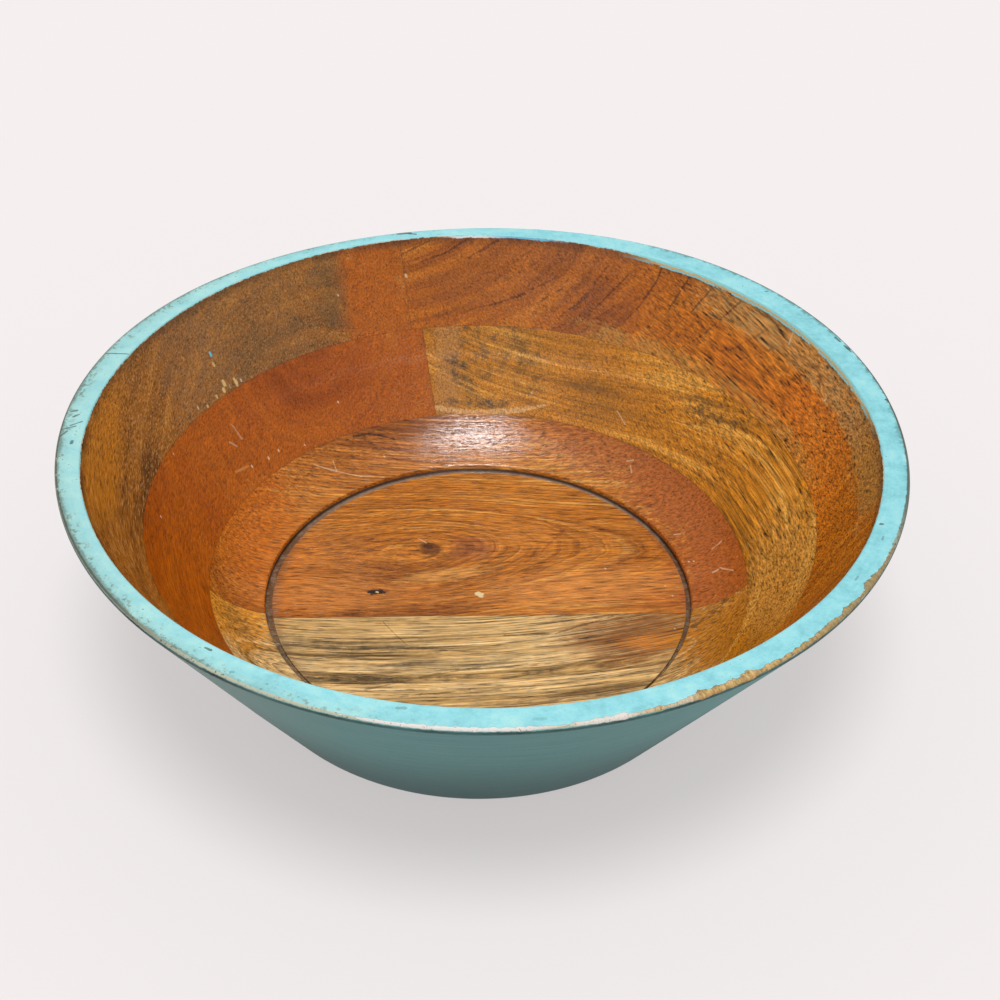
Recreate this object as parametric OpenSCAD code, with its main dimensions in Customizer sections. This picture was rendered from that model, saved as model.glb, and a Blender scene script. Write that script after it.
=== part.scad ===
// Dough bowl: three courses of edge-glued planks, turned to shape and painted outside.
// Millimetres, +Z up, origin at the centre of the base, where the bowl stands.

/* [Outside] */
// Overall diameter across the rim
rim_d = 405; // [340:1:470]
// Overall height
bowl_h = 127; // [105:1:150]
// Diameter of the flat that the bowl stands on
base_d = 230; // [195:1:270]
// Rounding of the outer corner of the rim
rim_arris_r = 2; // [1:0.5:3]
// Rounding of the corner between the base and the outer wall
base_arris_r = 4; // [2:0.5:6]

/* [Inside] */
// Width of the rim, from the outside of the bowl to the inner wall
rim_w = 12.5; // [10:0.5:18]
// Rounding of the inner edge of the rim
mouth_arris_r = 1.5; // [1:0.5:2.5]
// Level width of the wall at its foot, where the cove starts
wall_foot_w = 13.8; // [11:0.1:18]
// Depth of the long hollow curve down the inner wall
wall_bow = 2.2; // [1:0.1:4]
// Height of the cove at the foot of the inner wall
cove_h = 16.4; // [12:0.2:22]
// Thickness of the bottom under the lowest level of the cove
bottom_t = 29; // [22:0.5:36]
// Width by which the sunk floor bites into the cove before it runs level
floor_bite = 8; // [3:0.1:12]
// Drop from the level of the cove to the floor
floor_drop = 2.4; // [1.5:0.1:3.5]
// Rounding of the edge where the cove breaks off to the floor
ledge_arris_r = 1.2; // [0.6:0.2:2]
// Width of the groove turned round the floor
groove_w = 3; // [2:0.5:5]
// Depth of that groove below the floor
groove_depth = 1.5; // [0.5:0.5:3]

/* [Courses] */
// Height of the bottom course
bottom_course_h = 45.5; // [38:0.5:54]
// Share of the height above the bottom course that the rim course takes
rim_course_share = 0.52; // [0.4:0.01:0.6]
// Turn of the rim course's seam about the bowl's axis
rim_seam_turn = 15; // [0:1:90]
// Distance of that seam from the axis
rim_seam_shift = 2.5; // [-20:0.5:20]
// Turn of the middle course's seam
middle_seam_turn = 16; // [0:1:90]
// Distance of that seam from the axis
middle_seam_shift = 11.5; // [-20:0.5:20]
// Turn of the bottom course's seam, which lies across the two above it
bottom_seam_turn = 92; // [60:1:120]
// Distance of that seam from the axis, towards the back
bottom_seam_shift = -15; // [-20:0.5:20]

/* [Paint] */
// Thickness of the paint film on the outer wall and the rim
paint_t = 0.4; // [0.3:0.1:0.6]
// Share of the rounded base corner and inner rim edge that the paint wraps round
paint_wrap_share = 0.5; // [0.2:0.1:0.8]

/* [Hidden] */
$fn = 180;

// Length by which a rough plank runs past the turned shape
overrun = 5;
// Turn between the two planks of a course, which face opposite ways
opposite_turn = 180;

// Short cones that make up each kind of curve in the turned profile
arris_cones = 4;
bow_cones = 11;
cove_cones = 16;

// Points along an arc of the profile, without the first few where another arc ends there
function arc(centre, radius, from, to, cones, skip = 0) = [
    for (i = [skip:cones])
        let (angle = from + (to - from) * i / cones)
        centre + radius * [cos(angle), sin(angle)]
];
function reversed(points) = [for (i = [len(points) - 1:-1:0]) points[i]];
function heading(from, to) = atan2(to.y - from.y, to.x - from.x);

// Centres of the two rounded corners of the outer wall, in the plane of the profile
rim_c = [rim_d / 2 - rim_arris_r, bowl_h - rim_arris_r];
base_c = [base_d / 2, base_arris_r];
// The outer wall is the common tangent of those corners, and this is where its normal points
wall_tilt = asin((base_arris_r - rim_arris_r) / norm(rim_c - base_c));
wall_angle = heading(base_c, rim_c) - 90 + wall_tilt;
// Radius of the outer wall at a height
wall_low = base_c + base_arris_r * [cos(wall_angle), sin(wall_angle)];
function wall_r(height) = wall_low.x - (height - wall_low.y) * tan(wall_angle);

// The inner wall runs from the mouth to its foot as a long curve, hollow by the bow
mouth = [rim_d / 2 - rim_w, bowl_h];
cove_top = bottom_t + cove_h;
wall_foot = [wall_r(cove_top) - wall_foot_w, cove_top];
wall_chord = norm(mouth - wall_foot);
bow_r = (pow(wall_chord / 2, 2) + pow(wall_bow, 2)) / (2 * wall_bow);
bow_facing = heading(wall_foot, mouth) + 90;
bow_c = (mouth + wall_foot) / 2 + (bow_r - wall_bow) * [cos(bow_facing), sin(bow_facing)];

// The cove carries the curve on from the foot of the wall until it runs level
foot_facing = heading(wall_foot, bow_c);
cove_r = cove_h / (1 - sin(foot_facing));
cove_c = wall_foot + cove_r * [cos(foot_facing), sin(foot_facing)];
floor_r = cove_c.x + floor_bite;

// The inner edge of the rim is rounded between the flat rim and the long curve
mouth_c_z = bowl_h - mouth_arris_r;
mouth_reach = sqrt(pow(bow_r + mouth_arris_r, 2) - pow(bow_c.y - mouth_c_z, 2));
mouth_c = [bow_c.x + mouth_reach, mouth_c_z];

// The edge above the floor is rounded between the cove and the side of the groove
ledge_c_x = floor_r + ledge_arris_r;
ledge_fall = sqrt(pow(cove_r + ledge_arris_r, 2) - pow(ledge_c_x - cove_c.x, 2));
ledge_c = [ledge_c_x, cove_c.y - ledge_fall];

// Angles at which the paint stops on the base corner and on the inner edge of the rim
base_stop_angle = wall_angle - paint_wrap_share * (wall_angle + 90);
mouth_touch_angle = heading(mouth_c, bow_c);
mouth_stop_angle = 90 + paint_wrap_share * (mouth_touch_angle - 90);

// Levels of the sunk floor and of the seams between the courses
floor_level = bottom_t - floor_drop;
groove_level = floor_level - groove_depth;
rim_course_h = (bowl_h - bottom_course_h) * rim_course_share;
rim_seam_level = bowl_h - rim_course_h;
middle_course_h = rim_seam_level - bottom_course_h;

// Side of a rough plank, long enough to reach past the rim from any seam
plank_side = rim_d + overrun;

// The painted run of the outside, drawn in from the true surface by an inset
function painted_run(inset) = concat(
    arc(base_c, base_arris_r - inset, base_stop_angle, wall_angle, arris_cones),
    arc(rim_c, rim_arris_r - inset, wall_angle, 90, arris_cones),
    arc(mouth_c, mouth_arris_r - inset, 90, mouth_stop_angle, arris_cones)
);

// The inside, from the inner edge of the rim down the wall and the cove to the groove's side
inner_run = concat(
    arc(mouth_c, mouth_arris_r, mouth_stop_angle, mouth_touch_angle, arris_cones),
    arc(bow_c, bow_r, heading(bow_c, mouth_c), heading(bow_c, wall_foot), bow_cones, 1),
    arc(cove_c, cove_r, heading(cove_c, wall_foot), heading(cove_c, ledge_c), cove_cones, 1),
    arc(ledge_c, ledge_arris_r, heading(ledge_c, cove_c), 180, arris_cones, 1)
);

// The glued-up blank after turning, before it is sorted into planks
module turned_wood() {
    rotate_extrude() polygon(concat(
        [[0, 0]],
        arc(base_c, base_arris_r, -90, base_stop_angle, arris_cones),
        painted_run(paint_t),
        inner_run,
        [
            [floor_r, groove_level],
            [floor_r - groove_w, groove_level],
            [floor_r - groove_w, floor_level],
            [0, floor_level]
        ]
    ));
}

// One rough plank of a course, reaching away from its seam towards the side it faces
module rough_plank(level, thickness, facing, seam_shift) {
    rotate([0, 0, facing]) translate([seam_shift, -plank_side, level])
        cube([plank_side, plank_side * 2, thickness]);
}

// What turning leaves of a rough plank in each course
module rim_course_plank(facing, seam_shift) {
    intersection() {
        turned_wood();
        rough_plank(rim_seam_level, rim_course_h, facing, seam_shift);
    }
}

module middle_course_plank(facing, seam_shift) {
    intersection() {
        turned_wood();
        rough_plank(bottom_course_h, middle_course_h, facing, seam_shift);
    }
}

module bottom_course_plank(facing, seam_shift) {
    intersection() {
        turned_wood();
        rough_plank(0, bottom_course_h, facing, seam_shift);
    }
}

module rim_left_plank() {
    color("#8a5a2b") rim_course_plank(rim_seam_turn + opposite_turn, -rim_seam_shift);
}

module rim_right_plank() {
    color("#a3561f") rim_course_plank(rim_seam_turn, rim_seam_shift);
}

module middle_left_plank() {
    color("#a84a14") middle_course_plank(middle_seam_turn + opposite_turn, -middle_seam_shift);
}

module middle_right_plank() {
    color("#b0762c") middle_course_plank(middle_seam_turn, middle_seam_shift);
}

module bottom_back_plank() {
    color("#a65222") bottom_course_plank(bottom_seam_turn, bottom_seam_shift);
}

module bottom_front_plank() {
    color("#c08a45") bottom_course_plank(bottom_seam_turn + opposite_turn, -bottom_seam_shift);
}

// The paint film over the outer wall and the rim, from the base corner to the inner edge
module paint_coat() {
    color("#8fdce0") rotate_extrude()
        polygon(concat(painted_run(0), reversed(painted_run(paint_t))));
}

rim_left_plank();
rim_right_plank();
middle_left_plank();
middle_right_plank();
bottom_back_plank();
bottom_front_plank();
paint_coat();
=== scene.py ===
"""Looks of a turned and painted dough bowl: six glued planks and the paint film over them."""
import math
from dataclasses import dataclass
from functools import partialmethod

import bmesh
import bpy
import numpy as np
from mathutils import Matrix, Vector, noise


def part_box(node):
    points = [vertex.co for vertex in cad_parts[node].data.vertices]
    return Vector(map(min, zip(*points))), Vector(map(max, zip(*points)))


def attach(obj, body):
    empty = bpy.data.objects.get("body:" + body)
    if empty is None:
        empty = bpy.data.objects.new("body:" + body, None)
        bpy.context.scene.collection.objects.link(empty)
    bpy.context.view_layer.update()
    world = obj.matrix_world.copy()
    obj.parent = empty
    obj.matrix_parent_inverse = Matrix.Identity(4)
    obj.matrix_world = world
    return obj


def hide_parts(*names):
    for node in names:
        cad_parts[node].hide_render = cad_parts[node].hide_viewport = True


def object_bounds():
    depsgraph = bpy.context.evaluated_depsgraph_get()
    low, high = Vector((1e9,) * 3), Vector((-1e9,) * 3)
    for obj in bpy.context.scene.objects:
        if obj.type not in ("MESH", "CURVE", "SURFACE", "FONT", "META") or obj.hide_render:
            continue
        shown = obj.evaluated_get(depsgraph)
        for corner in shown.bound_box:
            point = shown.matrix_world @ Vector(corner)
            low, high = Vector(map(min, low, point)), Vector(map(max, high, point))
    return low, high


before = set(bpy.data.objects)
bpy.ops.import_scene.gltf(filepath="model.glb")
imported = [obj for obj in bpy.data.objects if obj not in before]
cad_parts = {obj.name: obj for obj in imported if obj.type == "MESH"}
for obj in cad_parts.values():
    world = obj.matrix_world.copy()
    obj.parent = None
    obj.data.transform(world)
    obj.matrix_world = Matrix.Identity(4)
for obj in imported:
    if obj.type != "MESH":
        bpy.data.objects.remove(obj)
CAD_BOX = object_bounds()

# Shapes are worked out in millimetres and turned into metres when a mesh is made
MM = 0.001
# A length too small to count, and a height that covers all others
TINY = 1e-6
TALL = 1e4

# Outside of the bowl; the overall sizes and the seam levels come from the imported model
RIM_R = min(-CAD_BOX[0].x, CAD_BOX[1].x, -CAD_BOX[0].y, CAD_BOX[1].y) / MM
BOWL_H = CAD_BOX[1].z / MM
RIM_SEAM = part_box("rim_left_plank")[0].z / MM
MIDDLE_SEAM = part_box("middle_left_plank")[0].z / MM
BASE_R = 115.0
RIM_ARRIS = 2.0
BASE_ARRIS = 4.0

# Inside of the bowl
RIM_W = 12.5
MOUTH_ARRIS = 1.5
WALL_FOOT_W = 13.8
WALL_BOW = 2.2
COVE_H = 16.4
BOTTOM_T = 29.0
FLOOR_BITE = 8.0
FLOOR_DROP = 2.4
LEDGE_ARRIS = 1.2
GROOVE_W = 3.0
GROOVE_DEPTH = 1.5

# Paint film
PAINT_T = 0.4
PAINT_WRAP = 0.5

# The rim went out of round as the wood dried: waves round it, each with its size and turn
RIM_WAVES = ((0, -0.1, 0.0), (1, 1.25, 63.1), (2, 0.99, 129.7), (3, 1.62, 145.1), (4, 0.83, 135.9))
MOUTH_WAVES = ((0, 0.3, 0.0), (1, 1.6, 0.0))
# The foot stands a little off the middle of the rim, to the left and to the back
FOOT_SHIFT = (-1.6, 0.6)
# The sunk floor lies off the middle of its groove, so that the groove is wider at the left
FLOOR_SHIFT = 0.6
# Middle of the wall: its radius at the base, how fast it flares, and how thick the wall is
WALL_MIDDLE = 112.0
WALL_FLARE = 0.661
WALL_T = 9.5

# Spacing of the points along the turned profile, and the steps round the axis
FINE_STEP = 0.45
TOP_STEP = 0.9
WALL_STEP = 2.5
WOOD_SEGMENTS = 720
PAINT_SEGMENTS = 1200
# Steps on the corners, the top and the wall: of the paint, under it and of the wood there
PAINT_STEPS = (FINE_STEP, TOP_STEP, 2 * WALL_STEP)
PAINT_UNDER_STEPS = (3 * FINE_STEP, 4 * TOP_STEP, 8 * WALL_STEP)
WOOD_UNDER_STEPS = (2 * FINE_STEP, 4 * TOP_STEP, 4 * WALL_STEP)
FLOOR_STEP = 4 * WALL_STEP
# Corners sharper than this show as edges
SHARP_ANGLE = 32.0

# Camera: where the photograph was taken from, and the lens that gives its perspective
CAMERA_PLACE = (0.0, -0.77852, 0.68227)
CAMERA_YAW = 0.647
CAMERA_PITCH = 37.337
CAMERA_ROLL = 1.088
CAMERA_LENS = 72.0

# Light
SUN_ENERGY = 1.65
SUN_ANGLE = 25.0
SUN_FROM = (0.0, -0.26, 0.96)
WORLD_LEVEL = 0.5
FLOOR_COLOUR = "f5efef"
FLOOR_BOUNCE = "6c6864"
FLOOR_GLOW = 0.55
FLOOR_R = 12.0


# Colours and angles

def linear(code):
    """The linear colour of a six-digit sRGB code."""
    parts = [int(code[i:i + 2], 16) / 255 for i in (0, 2, 4)]
    return [c / 12.92 if c <= 0.04045 else ((c + 0.055) / 1.055) ** 2.4 for c in parts] + [1.0]


def heading(start, end):
    return math.atan2(end[1] - start[1], end[0] - start[0])


def polar(centre, radius, angle):
    return np.array(centre) + radius * np.array([math.cos(angle), math.sin(angle)])


# The turned profile, as points of radius and height

def arc(centre, radius, start, end, step):
    """Points along an arc, about one step apart."""
    count = max(3, math.ceil(abs(end - start) * radius / step))
    return [polar(centre, radius, a) for a in np.linspace(start, end, count + 1)]


def straight(start, end, step):
    """Points from start to end, about one step apart, without the two ends."""
    count = max(1, math.ceil(math.dist(start, end) / step))
    return [np.array(start) + (np.array(end) - start) * i / count for i in range(1, count)]


class Profile:
    """Centres, radii and angles of the bowl's half section."""

    def __init__(self):
        self.rim_c = np.array([RIM_R - RIM_ARRIS, BOWL_H - RIM_ARRIS])
        self.base_c = np.array([BASE_R, BASE_ARRIS])
        tilt = math.asin((BASE_ARRIS - RIM_ARRIS) / math.dist(self.rim_c, self.base_c))
        self.wall_angle = heading(self.base_c, self.rim_c) - math.pi / 2 + tilt
        wall_low = polar(self.base_c, BASE_ARRIS, self.wall_angle)
        cove_top = BOTTOM_T + COVE_H
        wall_r = wall_low[0] - (cove_top - wall_low[1]) * math.tan(self.wall_angle)
        mouth = np.array([RIM_R - RIM_W, BOWL_H])
        self.foot = np.array([wall_r - WALL_FOOT_W, cove_top])
        chord = math.dist(mouth, self.foot)
        self.bow_r = (chord ** 2 / 4 + WALL_BOW ** 2) / (2 * WALL_BOW)
        facing = heading(self.foot, mouth) + math.pi / 2
        self.bow_c = polar((mouth + self.foot) / 2, self.bow_r - WALL_BOW, facing)
        foot_facing = heading(self.foot, self.bow_c)
        self.cove_r = COVE_H / (1 - math.sin(foot_facing))
        self.cove_c = polar(self.foot, self.cove_r, foot_facing)
        self.floor_r = self.cove_c[0] + FLOOR_BITE
        self.mouth_c = self.beside(self.bow_c, self.bow_r + MOUTH_ARRIS, BOWL_H - MOUTH_ARRIS)
        ledge_r = self.floor_r + LEDGE_ARRIS
        fall = math.sqrt((self.cove_r + LEDGE_ARRIS) ** 2 - (ledge_r - self.cove_c[0]) ** 2)
        self.ledge_c = np.array([ledge_r, self.cove_c[1] - fall])
        self.base_stop = self.wall_angle - PAINT_WRAP * (self.wall_angle + math.pi / 2)
        self.mouth_touch = heading(self.mouth_c, self.bow_c) % (2 * math.pi)
        self.mouth_stop = math.pi / 2 + PAINT_WRAP * (self.mouth_touch - math.pi / 2)
        self.floor_z = BOTTOM_T - FLOOR_DROP
        self.groove_z = self.floor_z - GROOVE_DEPTH

    @staticmethod
    def beside(centre, reach, z):
        """The point at height z that lies a reach away from a centre, on its outer side."""
        return np.array([centre[0] + math.sqrt(reach ** 2 - (centre[1] - z) ** 2), z])

    def painted(self, inset, step, top_step, wall_step):
        """The painted run of the outside, from the base corner to the inner edge of the rim."""
        low = arc(self.base_c, BASE_ARRIS - inset, self.base_stop, self.wall_angle, step)
        corner = arc(self.rim_c, RIM_ARRIS - inset, self.wall_angle, math.pi / 2, step)
        edge = arc(self.mouth_c, MOUTH_ARRIS - inset, math.pi / 2, self.mouth_stop, step)
        wall = straight(low[-1], corner[0], wall_step)
        top = straight(corner[-1], edge[0], top_step)
        return low + wall + corner + top + edge

    def inner(self, step, wall_step):
        """The inside, from the inner edge of the rim down to the axis."""
        edge = arc(self.mouth_c, MOUTH_ARRIS, self.mouth_stop, self.mouth_touch, step)
        bow = arc(self.bow_c, self.bow_r, heading(self.bow_c, self.mouth_c),
                  heading(self.bow_c, self.foot), wall_step)
        cove = arc(self.cove_c, self.cove_r, heading(self.cove_c, self.foot),
                   heading(self.cove_c, self.ledge_c), wall_step)
        ledge_start = heading(self.ledge_c, self.cove_c) - 2 * math.pi
        ledge = arc(self.ledge_c, LEDGE_ARRIS, ledge_start, -math.pi, step)
        floor = [np.array(p) for p in (
            (self.floor_r, self.groove_z),
            (self.floor_r - GROOVE_W, self.groove_z),
            (self.floor_r - GROOVE_W, self.floor_z),
        )]
        level = straight(floor[-1], (0, self.floor_z), FLOOR_STEP)
        return edge + bow[1:] + cove[1:] + ledge[1:] + floor + level

    def inside_z(self, r):
        """Height of the inside at a radius."""
        if r < self.floor_r:
            return self.floor_z
        centre, reach = (self.cove_c, self.cove_r) if r < self.foot[0] else (self.bow_c, self.bow_r)
        return centre[1] - math.sqrt(reach ** 2 - (r - centre[0]) ** 2)


PROFILE = Profile()


# Meshes

def turned(points, segments):
    """Rings of vertices for a half section turned round the axis: rings, steps, xyz."""
    turns = np.arange(segments) * 2 * math.pi / segments
    r, z = np.array(points).T[:, :, None]
    return np.stack([r * np.sin(turns), r * np.cos(turns), z + 0 * turns], axis=-1)


def waves(series, turn):
    return sum(size * np.cos(n * turn - math.radians(at)) for n, size, at in series)


def moved(rings):
    """Rings after the wood has moved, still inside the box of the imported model."""
    x, y, z = np.moveaxis(rings, -1, 0)
    r, turn = np.hypot(x, y), np.arctan2(x, y)
    outside = np.clip(0.5 + (r - WALL_MIDDLE - WALL_FLARE * z) / WALL_T, 0, 1)
    low = np.where(outside > 0, MIDDLE_SEAM, RIM_SEAM)
    lift = np.clip((z - low) / (BOWL_H - low), 0, 1)
    grown = outside * waves(RIM_WAVES, turn) + (1 - outside) * waves(MOUTH_WAVES, turn)
    share = 1 + lift * grown / r
    depth = 1 - z / BOWL_H
    x = np.clip(x * share + FOOT_SHIFT[0] * depth, -RIM_R, RIM_R)
    y = np.clip(y * share + FOOT_SHIFT[1] * depth, -RIM_R, RIM_R)
    return np.stack([x, y, z], -1)


def skin(rings, closed):
    """A bmesh over rings of vertices, joined up to a shell or closed by a flat at both ends."""
    made = bmesh.new()
    rows = [[made.verts.new(v) for v in ring * MM] for ring in rings]
    pairs = list(zip(rows, rows[1:]))
    if closed:
        pairs.append((rows[-1], rows[0]))
    count = len(rows[0])
    for a, b in pairs:
        for i in range(count):
            j = (i + 1) % count
            made.faces.new((a[i], a[j], b[j], b[i]))
    if not closed:
        made.faces.new(rows[0])
        made.faces.new(rows[-1][::-1])
    return made


def saw(made, point, normal):
    """Cuts away what lies on the side that the normal points to, and closes the cut."""
    every = made.verts[:] + made.edges[:] + made.faces[:]
    bmesh.ops.bisect_plane(made, geom=every, plane_co=point, plane_no=normal, clear_outer=True)
    open_edges = [e for e in made.edges if e.is_boundary]
    bmesh.ops.holes_fill(made, edges=open_edges, sides=0)


def finished(made, name, material):
    """An object of a bmesh, with smooth faces, sharp corners and a material."""
    mesh = bpy.data.meshes.new(name)
    bmesh.ops.recalc_face_normals(made, faces=made.faces)
    made.to_mesh(mesh)
    made.free()
    mesh.shade_smooth()
    mesh.set_sharp_from_angle(angle=math.radians(SHARP_ANGLE))
    mesh.materials.append(material)
    piece = bpy.data.objects.new(name, mesh)
    bpy.context.scene.collection.objects.link(piece)
    return piece


# Shader nodes, written as sums

class Field:
    """A value that varies over a surface: the output of a shader node."""

    def __init__(self, shader, socket):
        self.shader = shader
        self.socket = socket

    def math(self, operation, *others):
        return self.shader.math(operation, self, *others)

    def __rsub__(self, other):
        return self.shader.math("SUBTRACT", other, self)

    __add__ = __radd__ = partialmethod(math, "ADD")
    __sub__ = partialmethod(math, "SUBTRACT")
    __mul__ = __rmul__ = partialmethod(math, "MULTIPLY")
    __truediv__ = partialmethod(math, "DIVIDE")
    __pow__ = partialmethod(math, "POWER")

    def clamped(self):
        return self.shader.node("Clamp", {0: self})

    def span(self, low, high):
        """0 at low, 1 at high, and a smooth step between them."""
        return self.shader.node("MapRange", {"Value": self, "From Min": low, "From Max": high},
                                interpolation_type="SMOOTHSTEP")


class Shader:
    """One material and the nodes that make it."""

    def __init__(self, name):
        self.material = bpy.data.materials.new(name)
        self.material.use_nodes = True
        self.tree = self.material.node_tree
        self.tree.nodes.clear()

    def raw(self, kind, inputs, **settings):
        """A node. Its inputs are fields, plain values or colour codes."""
        made = self.tree.nodes.new("ShaderNode" + kind)
        for key, value in settings.items():
            setattr(made, key, value)
        for key, value in inputs.items():
            if isinstance(value, Field):
                self.tree.links.new(value.socket, made.inputs[key])
            else:
                made.inputs[key].default_value = linear(value) if isinstance(value, str) else value
        return made

    def node(self, kind, inputs, output=0, **settings):
        return Field(self, self.raw(kind, inputs, **settings).outputs[output])

    def math(self, operation, *values):
        return self.node("Math", dict(enumerate(values)), operation=operation)

    def vector_math(self, operation, *values, output=0):
        inputs = dict(enumerate(values))
        return self.node("VectorMath", inputs, output=output, operation=operation)

    def counted(self, place, size):
        """A place counted in cells of one size, or of a size for each of its three directions."""
        sizes = size if isinstance(size, tuple) else (size,) * 3
        return self.node("CombineXYZ", {i: p / cell for i, (p, cell) in enumerate(zip(place, sizes))})

    def noise(self, place, size, detail=2.0, roughness=0.5):
        """A noise around 0, about a quarter each way."""
        inputs = {"Vector": self.counted(place, size), "Scale": 1.0, "Detail": detail,
                  "Roughness": roughness}
        return self.node("TexNoise", inputs) - 0.5

    def spots(self, place, size):
        """Distance to the nearest of many scattered points, about one for each cell."""
        inputs = {"Vector": self.counted(place, size), "Scale": 1.0}
        return self.node("TexVoronoi", inputs, output="Distance")

    def from_middle(self, place, centre, size, turn):
        """Distance from the middle of an ellipse in plan, 1 on its edge at every height."""
        inputs = {"Vector": place, "Location": (*centre, 0), "Scale": (*size, TALL),
                  "Rotation": (0, 0, math.radians(turn))}
        inside = self.node("Mapping", inputs, vector_type="TEXTURE")
        return self.vector_math("LENGTH", inside, output="Value")

    def scale(self, colour, amount):
        return self.node("VectorMath", {0: colour, "Scale": amount}, operation="SCALE")

    def mix(self, amount, first, second):
        inputs = {0: amount, 6: first, 7: second}
        return self.node("Mix", inputs, output=2, data_type="RGBA", clamp_factor=True)

    def layered(self, colour, *layers):
        """A colour under layers, each of them an amount and a colour."""
        for amount, over in layers:
            colour = self.mix(amount, colour, over)
        return colour

    def ramp(self, value, stops):
        """A colour ramp: stops are pairs of a place from 0 to 1 and a colour code."""
        made = self.raw("ValToRGB", {0: value})
        elements = made.color_ramp.elements
        while len(elements) < len(stops):
            elements.new(0.5)
        for element, (place, code) in zip(elements, stops):
            element.position = place
            element.color = linear(code)
        return Field(self, made.outputs[0])

    def place(self):
        """Object coordinates in millimetres."""
        coordinates = self.node("TexCoord", {}, output="Object")
        return self.vector_math("MULTIPLY", coordinates, (1 / MM,) * 3)

    def split(self, vector):
        return [Field(self, s) for s in self.raw("SeparateXYZ", {0: vector}).outputs]

    def relief(self, height, size):
        return self.node("Bump", {"Strength": 1.0, "Distance": size * MM, "Height": height})

    def finish(self, colour, roughness, height, bump, gloss_bump=None, **constants):
        """The surface shader, with its relief in millimetres and its constant values."""
        inputs = {"Base Color": colour, "Roughness": roughness, "Normal": self.relief(height, bump)}
        if gloss_bump:
            inputs["Coat Normal"] = self.relief(height, gloss_bump)
        inputs.update({k.replace("_", " "): v for k, v in constants.items()})
        surface = self.node("BsdfPrincipled", inputs)
        self.raw("OutputMaterial", {"Surface": surface})
        return self.material


# Marks and patches that any of the materials can carry

# From clear to full: at the edge of a mark, as shares of its width, of a band and of a gap
MARK_EDGE = (0.6, 0.3)
BAND_EDGE = (-0.4, 0.5)
STAIN_GAPS = (-0.25, 0.2)
# Soft ends of a band in degrees, and its soft sides in millimetres
BAND_ENDS = 10.0
BAND_SIDES = 4.0
# Run of a fleck to the right and to the front, and its width, as shares of its size
FLECK_RUN = (1 / 3, 1 / 4)
FLECK_W = 0.7
PALE_MARK = "e8cfa8"
DARK_CRACK = "4a2208"
# Rounds in which a place on the inside settles
SETTLING = 6


@dataclass(frozen=True)
class Mark:
    """A straight scratch, or a fleck where both ends are close, between two places."""
    start: tuple
    end: tuple
    width: float
    colour: str
    strength: float = 0.8

    def draw(self, s, place, ragged, colour):
        start = np.array(self.start)
        along = np.array(self.end) - start
        share = s.vector_math("DOT_PRODUCT", s.vector_math("SUBTRACT", place, tuple(start)),
                              tuple(along / max(along @ along, TINY)), output="Value")
        nearest = s.vector_math("MULTIPLY_ADD", share.clamped(), tuple(along), tuple(start))
        distance = s.vector_math("DISTANCE", place, nearest, output="Value") + ragged * self.width
        amount = distance.span(*(self.width * edge for edge in MARK_EDGE)) * self.strength
        return s.mix(amount, colour, self.colour)


def stained(s, stain, amount, ragged, colour):
    """A colour under a stain, which may be broken by specks of wood."""
    amount = amount * stain.strength
    if stain.broken:
        amount = amount * (1 - ragged.span(*STAIN_GAPS) * stain.broken)
    return s.mix(amount, colour, stain.colour)


@dataclass(frozen=True)
class Patch:
    """A ragged patch of another colour, an ellipse in plan."""
    centre: tuple
    size: tuple
    turn: float
    colour: str
    strength: float
    fade: float = 0.9
    broken: float = 0.0    # share of it that shows the wood between specks

    def draw(self, s, place, ragged, colour):
        reach = s.from_middle(place, self.centre, self.size, self.turn) + ragged
        amount = reach.span(1.0 + self.fade / 2, 1.0 - self.fade / 2)
        return stained(s, self, amount, ragged, colour)


@dataclass(frozen=True)
class Band:
    """A ragged band of another colour along the wall, between two turns and two heights."""
    turns: tuple
    levels: tuple
    colour: str
    strength: float
    broken: float = 0.0

    def draw(self, s, place, ragged, colour):
        x, y, z = s.split(place)
        turn = x.math("ARCTAN2", y) * math.degrees(1)
        sideways = (turn - self.turns[0]).math("MINIMUM", self.turns[1] - turn) / BAND_ENDS
        upwards = (z - self.levels[0]).math("MINIMUM", self.levels[1] - z) / BAND_SIDES
        amount = (sideways.math("MINIMUM", upwards) - ragged).span(*BAND_EDGE)
        return stained(s, self, amount, ragged, colour)


def on_inside(x, y):
    """The place on the inside over a place in plan, where the mouth has moved."""
    z = 0.0
    for _ in range(SETTLING):
        depth = 1 - z / BOWL_H
        u, v = x - FOOT_SHIFT[0] * depth, y - FOOT_SHIFT[1] * depth
        lift = np.clip((z - RIM_SEAM) / (BOWL_H - RIM_SEAM), 0, 1)
        r = math.hypot(u, v) - lift * waves(MOUTH_WAVES, math.atan2(u, v))
        z = PROFILE.inside_z(min(r, RIM_R - RIM_W))
    return (x, y, z)


def scratch(x0, y0, x1, y1, width=0.7, colour=PALE_MARK, strength=0.5):
    """A mark on the inside of the bowl, between two places in plan."""
    return Mark(on_inside(x0, y0), on_inside(x1, y1), width, colour, strength)


def fleck(x, y, size=1.5, colour=PALE_MARK, strength=0.8):
    right, front = (size * share for share in FLECK_RUN)
    return scratch(x, y, x + right, y - front, size * FLECK_W, colour, strength)


def flecks(colour, *places):
    """Flecks of one colour, each a place in plan and a size."""
    return tuple(fleck(*place, colour) for place in places)


def crack(*places, width=1.3, colour=DARK_CRACK, strength=0.6):
    """A dark line on the inside of the bowl through places in plan."""
    return tuple(scratch(*a, *b, width, colour, strength) for a, b in zip(places, places[1:]))


# Wood

@dataclass(frozen=True)
class Knot:
    """A knot: the growth lines and the fibres bend round it, and its eye is dark."""
    place: tuple
    reach: tuple
    turn: float
    lift: float      # years by which it raises the growth lines
    spread: float    # share by which it pushes the fibres aside
    eye: tuple


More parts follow.
